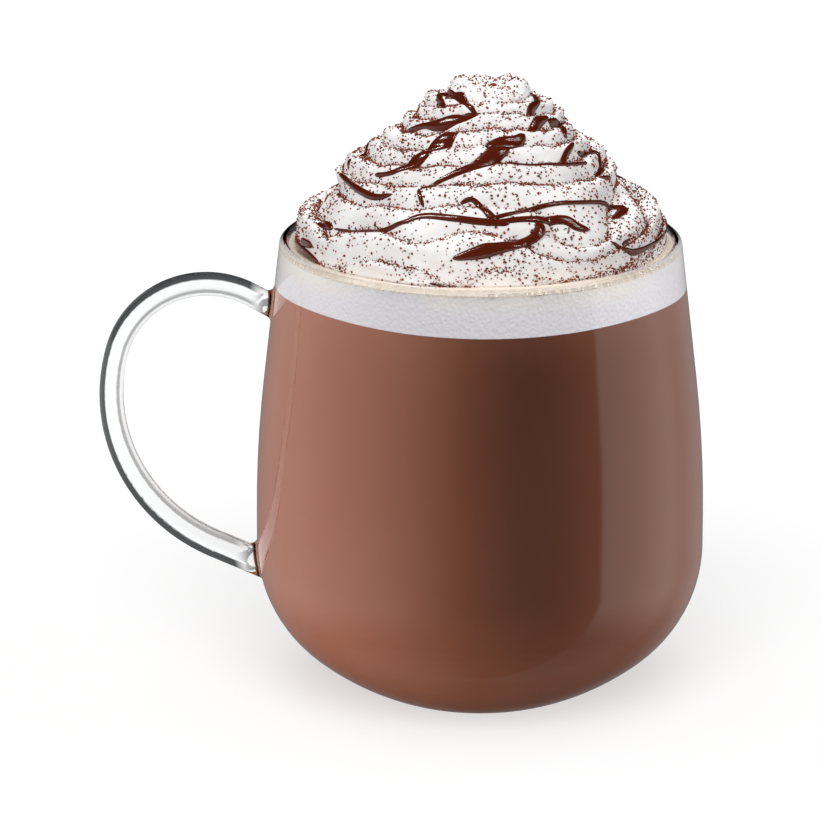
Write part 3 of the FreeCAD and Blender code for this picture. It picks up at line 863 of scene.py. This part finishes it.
# each stroke: angle round, height over the foam and width, in degrees and millimetres
strokes = [
    [(-75, 31.5, 1.0), (-90, 30.0, 1.0), (-65, 29.0, 1.5), (-50, 28.5, 1.0)],
    [(-90, 30.5, 1.0), (-65, 33.0, 1.0), (-40, 31.0, 1.5), (-15, 29.0, 1.0)],
    [(-10, 29.0, 1.0), (-30, 27.5, 2.5), (-45, 26.0, 2.5), (-60, 25.0, 1.0), (-80, 23.0, 0.5)],
    [(-25, 25.5, 1.5), (-30, 24.0, 3.0), (-35, 23.0, 2.5), (-40, 22.0, 1.5)],
    [(-35, 22.0, 1.5), (-40, 20.5, 2.5), (-45, 19.0, 2.0), (-50, 17.5, 1.0), (-60, 16.5, 1.0)],
    [(80, 31.0, 1.0), (75, 29.5, 1.5), (50, 28.5, 1.5), (40, 27.5, 1.5)],
    [(65, 26.5, 1.0), (50, 26.5, 2.0), (35, 25.5, 1.5)],
    [(30, 25.0, 1.5), (20, 24.0, 2.5), (5, 23.5, 3.0), (0, 22.5, 2.0)],
    [(15, 23.0, 1.5), (5, 22.0, 3.0), (-5, 20.5, 2.5), (-20, 18.0, 1.0), (-30, 16.0, 0.5)],
    [(10, 21.0, 0.5), (25, 20.5, 0.5), (45, 19.5, 1.0), (65, 18.5, 1.0)],
    [(60, 26.0, 1.5), (75, 25.0, 1.5), (65, 23.0, 2.0)],
    [(70, 22.0, 1.0), (55, 21.0, 1.5), (45, 19.5, 1.5)],
    [(65, 20.5, 1.0), (85, 19.0, 1.5), (80, 17.0, 1.5), (65, 16.5, 1.0)],
    [(65, 16.0, 1.0), (75, 15.0, 1.0)],
    [(-100, 18.5, 1.0), (-90, 17.0, 1.0)],
    [(-90, 16.0, 1.0), (-85, 15.0, 1.0)],
    [(-85, 14.0, 1.0), (-70, 14.0, 1.5), (-50, 13.5, 1.5), (-40, 14.5, 0.5)],
    [(-30, 16.0, 1.0), (-25, 13.5, 1.0)],
    [(-10, 14.5, 1.0), (-5, 15.0, 1.0), (0, 13.5, 1.5), (5, 11.0, 2.0)],
    [(-60, 7.0, 0.5), (-40, 8.5, 1.0), (-30, 10.5, 1.0), (-20, 12.0, 1.5), (10, 11.0, 1.5)],
    [(0, 11.0, 1.0), (15, 11.5, 1.5), (30, 11.0, 2.0), (35, 9.5, 2.0), (40, 8.5, 1.0)],
    [(20, 11.0, 2.5), (20, 9.5, 2.5), (15, 8.0, 2.0), (5, 7.0, 2.5), (0, 6.5, 3.0), (-10, 5.0, 1.0)],
    [(0, 11.5, 1.0), (15, 13.0, 1.0), (30, 13.5, 1.0), (55, 12.5, 1.0), (65, 10.5, 2.0), (55, 9.5, 1.0)],
    [(-70, 7.0, 2.0), (-60, 7.0, 1.5)],
    [(-85, 1.0, 1.5), (-70, 1.0, 2.0), (-60, 0.5, 1.0)],
    [(-75, 2.5, 2.0), (-65, 3.0, 1.5)],
    [(45, 6.0, 0.5), (50, 4.0, 1.0), (55, 3.0, 1.5), (65, 3.0, 1.0), (85, 3.0, 0.5)],
    [(50, 5.0, 1.0), (55, 5.5, 0.5)],
    [(150, 27.0, 2.0), (165, 23.0, 3.0), (180, 19.0, 2.5), (170, 15.0, 3.5), (185, 11.0, 2.5),
     (170, 6.5, 2.0)],
    [(120, 24.0, 1.5), (130, 20.0, 2.5), (140, 17.0, 3.0), (135, 12.0, 2.5), (120, 8.0, 1.5)],
    [(210, 27.5, 1.5), (205, 23.0, 3.0), (220, 19.0, 2.0), (230, 15.0, 3.0), (220, 10.0, 2.5),
     (240, 6.0, 1.5)],
    [(150, 9.5, 1.0), (170, 10.5, 2.0), (195, 9.5, 1.5), (215, 8.0, 1.0)],
]


def sauceFinish():
    material, tree, surface = newMaterial("chocolate_sauce_finish")
    place = placeInMetres(tree)
    facing = addNode(tree, "LayerWeight", {"Blend": 0.4}).outputs["Facing"]
    swirl = noise(tree, place, sauce["swirlScale"], 2.0)
    edge = maths(tree, "MULTIPLY", ramp(tree, facing, 0.5, 1.0), 0.4)
    sockets = {
        "Base Color": blendColours(tree, edge, sauce["colour"], sauce["thin"]),
        "Roughness": 0.14,
        "Specular IOR Level": 0.5,
        "Normal": bump(tree, swirl, 0.2 * mm, 0.4).outputs[0],
    }
    shader = addNode(tree, "BsdfPrincipled", sockets)
    tree.links.new(shader.outputs[0], surface)
    return material


def throughPoints(stops, step):
    # a smooth run through the stops, in even steps: angle, height and width
    stops = np.array(stops, float)
    padded = np.concatenate([[2 * stops[0] - stops[1]], stops, [2 * stops[-1] - stops[-2]]])
    share = np.arange(sauce["fine"])[:, None] / sauce["fine"]
    runs = []
    for index in range(len(stops) - 1):
        before, start, end, after = padded[index:index + 4]
        runs.append(
            0.5 * (2 * start + (end - before) * share
                   + (2 * before - 5 * start + 4 * end - after) * share**2
                   + (3 * start - before - 3 * end + after) * share**3)
        )
    path = np.concatenate(runs + [stops[-1:]])
    middle = sideOf(path)
    length = np.concatenate([[0], np.cumsum(np.linalg.norm(np.diff(middle, axis=0), axis=1))])
    even = np.arange(0, length[-1], step)
    return np.stack([np.interp(even, length, path[:, index]) for index in range(3)], -1)


def sideOf(path):
    # the heap's plain side, without its folds, at angle and height
    around = np.radians(path[:, 0])
    climb = np.clip(path[:, 1] * mm / creamTall, 0, 1)
    over = np.maximum(path[:, 1] * mm - creamTall, 0)
    return onHeap(heapRadius(climb), around, climb, creamTall * climb + over)


def smoothed(values, reach):
    window = np.hanning(2 * reach + 3)[1:-1]
    window /= window.sum()
    padded = np.concatenate([values[:1].repeat(reach, 0), values, values[-1:].repeat(reach, 0)])
    return np.stack(
        [np.convolve(padded[:, index], window, "valid") for index in range(values.shape[1])], -1
    )


def liftOf(lane, way):
    # how far the cream stands out from the plain heap at one point
    hit = creamTree.ray_cast(Vector(lane + way * sauce["hover"]), Vector(-way), sauce["rayReach"])
    return sauce["hover"] - hit[3] if hit[0] is not None else -1 * mm


def strokeRings(stroke):
    # closed rings along one stroke, which lies on the cream and bridges its narrow creases
    share = np.linspace(-1, 1, sauce["across"])
    path = throughPoints(stroke, sauce["step"])
    middle = sideOf(path)
    outward = middle - [cream["crownShift"] / 2, setBack / 2, creamBase - sauce["centreDrop"]]
    outward /= np.linalg.norm(outward, axis=1, keepdims=True)
    sideways = np.cross(np.gradient(middle, axis=0), outward)
    sideways /= np.linalg.norm(sideways, axis=1, keepdims=True)
    toEnd = np.minimum(np.arange(len(path)), np.arange(len(path))[::-1])
    ends = np.sqrt(np.clip(1 - np.clip(1 - toEnd / sauce["endRows"], 0, 1) ** 2, 0.02, 1))
    half = path[:, 2] / 2 * mm * ends
    lanes = middle[:, None] + sideways[:, None] * (half[:, None] * share)[..., None]
    lift = np.array([[liftOf(lane, way) for lane in row] for row, way in zip(lanes, outward)])
    bridged = smoothed(np.maximum(lift, smoothed(lift, 2)), 1)
    dome = np.sqrt(np.clip(1 - np.abs(share) ** sauce["roundness"], 0, 1))
    thick = np.clip(path[:, 2] / sauce["fullWidth"], sauce["thinnest"], sauce["thickest"])
    thick = sauce["thickness"] * thick * ends
    top = bridged + thick[:, None] * dome - sauce["edgeSunk"] * (1 - dome)
    under = np.minimum(bridged, lift) - sauce["soleSunk"]
    upper = lanes + outward[:, None] * top[..., None]
    lower = lanes + outward[:, None] * under[..., None]
    return np.concatenate([upper, lower[:, ::-1]], 1)


def makeSauce():
    points, faces = [], []
    start = 0
    for stroke in strokes:
        rings = strokeRings(stroke)
        rows, width = rings.shape[:2]
        points.append(rings.reshape(-1, 3))
        faces += (np.array(gridFaces(rows, width)) + start)[:, ::-1].tolist()
        faces.append([start + index for index in range(width)])
        start += rows * width
        faces.append([start - width + index for index in range(width)][::-1])
    return newPiece("sauce", np.concatenate(points), faces, sauceFinish())


saucePiece = makeSauce()
print("sauce: poured")


bubbles = dict(
    tint=srgb(232, 221, 206),
    count=2200,
    small=0.06 * mm,
    large=0.32 * mm,
    sizes=(1.1, 5.0),  # the spread of sizes from small to large
    shadeScale=500.0,
    edge=0.35 * mm,  # how far in from the glass the outermost are
    spread=2.2 * mm,
    farthest=9 * mm,
    flatness=0.7,
    seed=5,
)


def bubbleFinish():
    material, tree, surface = newMaterial("foam_bubble_finish")
    place = placeInMetres(tree)
    shade = ramp(tree, noise(tree, place, bubbles["shadeScale"], 1.0), 0.3, 0.7)
    sockets = {
        "Base Color": blendColours(tree, shade, bubbles["tint"], foam["lip"]),
        "Roughness": 0.2,
        "Specular IOR Level": 0.5,
    }
    shader = addNode(tree, "BsdfPrincipled", sockets)
    tree.links.new(shader.outputs[0], surface)
    return material


def makeBubbles():
    random = np.random.default_rng(bubbles["seed"])
    count = bubbles["count"]
    turn = random.uniform(0, 2 * math.pi, count)
    inset = np.minimum(random.exponential(bubbles["spread"], count), bubbles["farthest"])
    radius = foamHigh.x - bubbles["edge"] - inset
    size = bubbles["small"] + (bubbles["large"] - bubbles["small"]) * random.beta(*bubbles["sizes"], count)
    # they follow the foam's edge up the glass
    height = foamHigh.z + foam["climb"] * np.exp(-inset / (0.6 * mm)) * 0.8
    places = np.stack([radius * np.sin(turn), -radius * np.cos(turn), height], -1)
    turns = np.eye(3)[None] * size[:, None, None]
    turns[:, 2] *= bubbles["flatness"]
    form, faces = smallBall(2)
    return joined("foam_bubbles", form, faces, turns, places, bubbleFinish())


bubblePiece = makeBubbles()
print("bubbles: risen")


pieces = [
    (coffeePiece, "milky_coffee", ["drink"]),
    (foamPiece, "milk_foam", ["milk_foam"]),
    (bubblePiece, "milk_foam", []),
    (creamPiece, "whipped_cream", ["whipped_cream"]),
    (cocoaPiece, "cocoa", []),
    (saucePiece, "chocolate_sauce", []),
]
for piece, slotName, nodes in pieces:
    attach(piece, "root")
    if nodes:
        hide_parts(*nodes)


studio = dict(
    ambient=0.17,  # the even light from all round
    mirrorLow=(-0.75, -0.35, 0.15, 1.0),  # the mirrored walls fade toward the floor
    mirrorHigh=(0.02, 0.15, 1.0, 0.0),  # and end a little above level
    floorSize=6.0,
    floorSquares=12,
    floorGrey=0.35,
    floorMottle=0.01,
    floorGlow=0.58,
    farGlow=0.68,  # the floor glows more far behind, where the lamps reach it less
    far=(0.03, 0.2),
)
# what the glass mirrors: angle round from the front towards +X, and brightness
mirrored = [(-180, 0.15), (-153, 0.35), (-107, 1.0), (-42, 0.60), (-10, 0.06), (63, 0.02),
            (66, 1.0), (110, 1.0), (127, 0.54), (147, 0.45), (180, 0.15)]
# each lamp: what it lights, angle round, angle up, distance, size, and how bright it makes a white
# card that faces it from the mug's place
lamps = dict(
    leftPanel=("drink", -74, -14, 1.1, (0.45, 0.9), 0.95),
    rightPanel=("drink", 92, -10, 1.1, (0.45, 0.9), 0.54),
    backPanel=("drink", 180, 0, 1.5, (1.2, 1.2), 0.20),
    foamLeft=("foam", -66, 25, 1.4, (0.6, 0.9), 0.68),
    foamRight=("foam", 66, 25, 1.4, (0.6, 0.9), 0.73),
    foamTop=("foam", 0, 80, 1.4, (0.6, 0.6), 0.45),
    creamLeft=("sweets", -48, 42, 1.3, (0.35, 0.35), 0.60),
    creamRight=("sweets", 55, 25, 1.4, (0.6, 0.9), 0.43),
    creamTop=("cream", 0, 85, 1.3, (0.6, 0.6), 0.22),
    creamBack=("cream", 170, 30, 1.4, (0.9, 0.9), 0.44),
    sauceShine=("sauce", -30, 48, 1.2, (0.10, 0.45), 0.16),
    sauceGlint=("sauce", 40, 30, 1.2, (0.06, 0.5), 0.05),
    floorFront=("floor", 0, 42, 3.6, (3.2, 3.2), 1.45),
    floorTop=("floor", 0, 88, 3.0, (2.0, 2.0), 0.32),
)
camera = dict(
    elevation=16.5,
    distance=1.2,
    lens=262.0,  # millimetres
    aimAcross=1.7 * mm,
    aimUp=-5.9 * mm,
)


def seenFirst(tree, kinds):
    # 1 for rays of these kinds that no matt surface has sent on
    path = addNode(tree, "LightPath").outputs
    total = path[kinds[0]]
    for kind in kinds[1:]:
        total = maths(tree, "MAXIMUM", total, path[kind])
    first = maths(tree, "LESS_THAN", path["Diffuse Depth"], 0.5)
    return maths(tree, "MULTIPLY", total, first)


def softShare(tree):
    # the low even light that comes from all round to matt surfaces
    later = addNode(tree, "LightPath").outputs["Diffuse Depth"]
    return maths(tree, "MULTIPLY", maths(tree, "GREATER_THAN", later, 0.5), studio["ambient"])


def makeWorld():
    world = bpy.data.worlds.new("studio")
    bpy.context.scene.world = world
    world.use_nodes = True
    world.cycles.sampling_method = "NONE"
    tree = world.node_tree
    tree.nodes.clear()
    clear = seenFirst(tree, ["Is Camera Ray", "Is Transmission Ray"])
    mirror = seenFirst(tree, ["Is Glossy Ray"])
    way = addNode(tree, "TexCoord").outputs["Generated"]
    split = addNode(tree, "SeparateXYZ", {0: way}).outputs
    turn = maths(tree, "ARCTAN2", split["X"], maths(tree, "MULTIPLY", split["Y"], -1.0))
    share = maths(tree, "ADD", maths(tree, "DIVIDE", turn, 2 * math.pi), 0.5)
    angles, levels = np.array(mirrored).T
    bands = through(tree, share, (angles + 180) / 360, levels)
    low = ramp(tree, split["Z"], *studio["mirrorLow"])
    high = ramp(tree, split["Z"], *studio["mirrorHigh"])
    shown = maths(tree, "MULTIPLY", bands, maths(tree, "MULTIPLY", low, high))
    seen = maths(tree, "MAXIMUM", clear, maths(tree, "MULTIPLY", mirror, shown))
    strength = maths(tree, "MAXIMUM", seen, softShare(tree))
    back = addNode(tree, "Background", {"Color": (1, 1, 1, 1), "Strength": strength})
    output = tree.nodes.new("ShaderNodeOutputWorld")
    tree.links.new(back.outputs[0], output.inputs["Surface"])


def makeFloor():
    half = studio["floorSize"] / 2
    edges = studio["floorSquares"] + 1
    steps = np.linspace(-half, half, edges)
    points = [(x, y, mugLow.z) for y in steps for x in steps]
    material, tree, surface = newMaterial("pale_floor")
    place = placeInMetres(tree)
    grey, uneven = studio["floorGrey"], studio["floorMottle"]
    first = maths(tree, "LESS_THAN", addNode(tree, "LightPath").outputs["Diffuse Depth"], 0.5)
    mottle = ramp(tree, noise(tree, place, 8.0, 2.0), 0.0, 1.0, grey - uneven, grey + uneven)
    level = maths(tree, "MULTIPLY", mottle, first)
    colour = addNode(tree, "CombineColor", {0: level, 1: level, 2: level}).outputs[0]
    matt = addNode(tree, "BsdfDiffuse", {"Color": colour})
    seen = seenFirst(tree, ["Is Camera Ray", "Is Transmission Ray"])
    back = addNode(tree, "SeparateXYZ", {0: place}).outputs["Y"]
    glow = ramp(tree, back, *studio["far"], studio["floorGlow"], studio["farGlow"])
    glow = maths(tree, "MAXIMUM", maths(tree, "MULTIPLY", seen, glow), softShare(tree))
    light = addNode(tree, "Emission", {"Strength": glow})
    both = addNode(tree, "AddShader", {0: matt.outputs[0], 1: light.outputs[0]})
    tree.links.new(both.outputs[0], surface)
    material.cycles.emission_sampling = "NONE"
    floor = newPiece("floor", points, gridFaces(edges, edges, closed=False), material)
    floor.visible_glossy = False
    return floor


def pointAt(thing, aim):
    thing.rotation_euler = (aim - thing.location).to_track_quat("-Z", "Y").to_euler()


def fromMiddle(azimuth, elevation, distance, middle):
    # azimuth 0 is the front, and goes towards +X
    turn, lift = math.radians(azimuth), math.radians(elevation)
    way = Vector((math.sin(turn) * math.cos(lift), -math.cos(turn) * math.cos(lift), math.sin(lift)))
    return middle + way * distance


def groupOf(name, things):
    group = bpy.data.collections.new(name)
    for thing in things:
        group.objects.link(thing)
    return group


def softbox(name, azimuth, elevation, distance, size, level, lit):
    lamp = bpy.data.lights.new(name, "AREA")
    lamp.shape = "RECTANGLE"
    lamp.size, lamp.size_y = size
    lamp.energy = level * math.pi**2 * distance**2
    lamp.cycles.use_multiple_importance_sampling = False
    box = bpy.data.objects.new(name, lamp)
    bpy.context.scene.collection.objects.link(box)
    middle = Vector((0, 0, mugHigh.z / 2))
    box.location = fromMiddle(azimuth, elevation, distance, middle)
    pointAt(box, middle)
    box.visible_transmission = False
    box.light_linking.receiver_collection = groupOf(name + "Lights", lit)
    if lit == [coffeePiece]:
        # nothing but the coffee itself shades it
        box.light_linking.blocker_collection = groupOf(name + "Shadows", lit)


def makeLights(floor):
    groups = dict(
        drink=[coffeePiece],
        foam=[foamPiece, bubblePiece],
        sweets=[creamPiece, cocoaPiece, saucePiece],
        cream=[creamPiece, cocoaPiece],
        sauce=[saucePiece],
        floor=[floor],
    )
    for name, (group, *settings) in lamps.items():
        softbox(name, *settings, groups[group])


def makeCamera():
    lens = bpy.data.cameras.new("camera")
    lens.lens = camera["lens"]
    lens.sensor_width = 36
    lens.clip_end = 20
    shot = bpy.data.objects.new("camera", lens)
    bpy.context.scene.collection.objects.link(shot)
    aim = (cadLow + cadHigh) / 2 + Vector((camera["aimAcross"], 0, camera["aimUp"]))
    aim.y = 0
    shot.location = fromMiddle(0, camera["elevation"], camera["distance"], aim)
    pointAt(shot, aim)
    bpy.context.scene.camera = shot


makeWorld()
makeLights(makeFloor())
makeCamera()
bpy.context.scene.view_settings.view_transform = "Standard"
print("studio: lit")
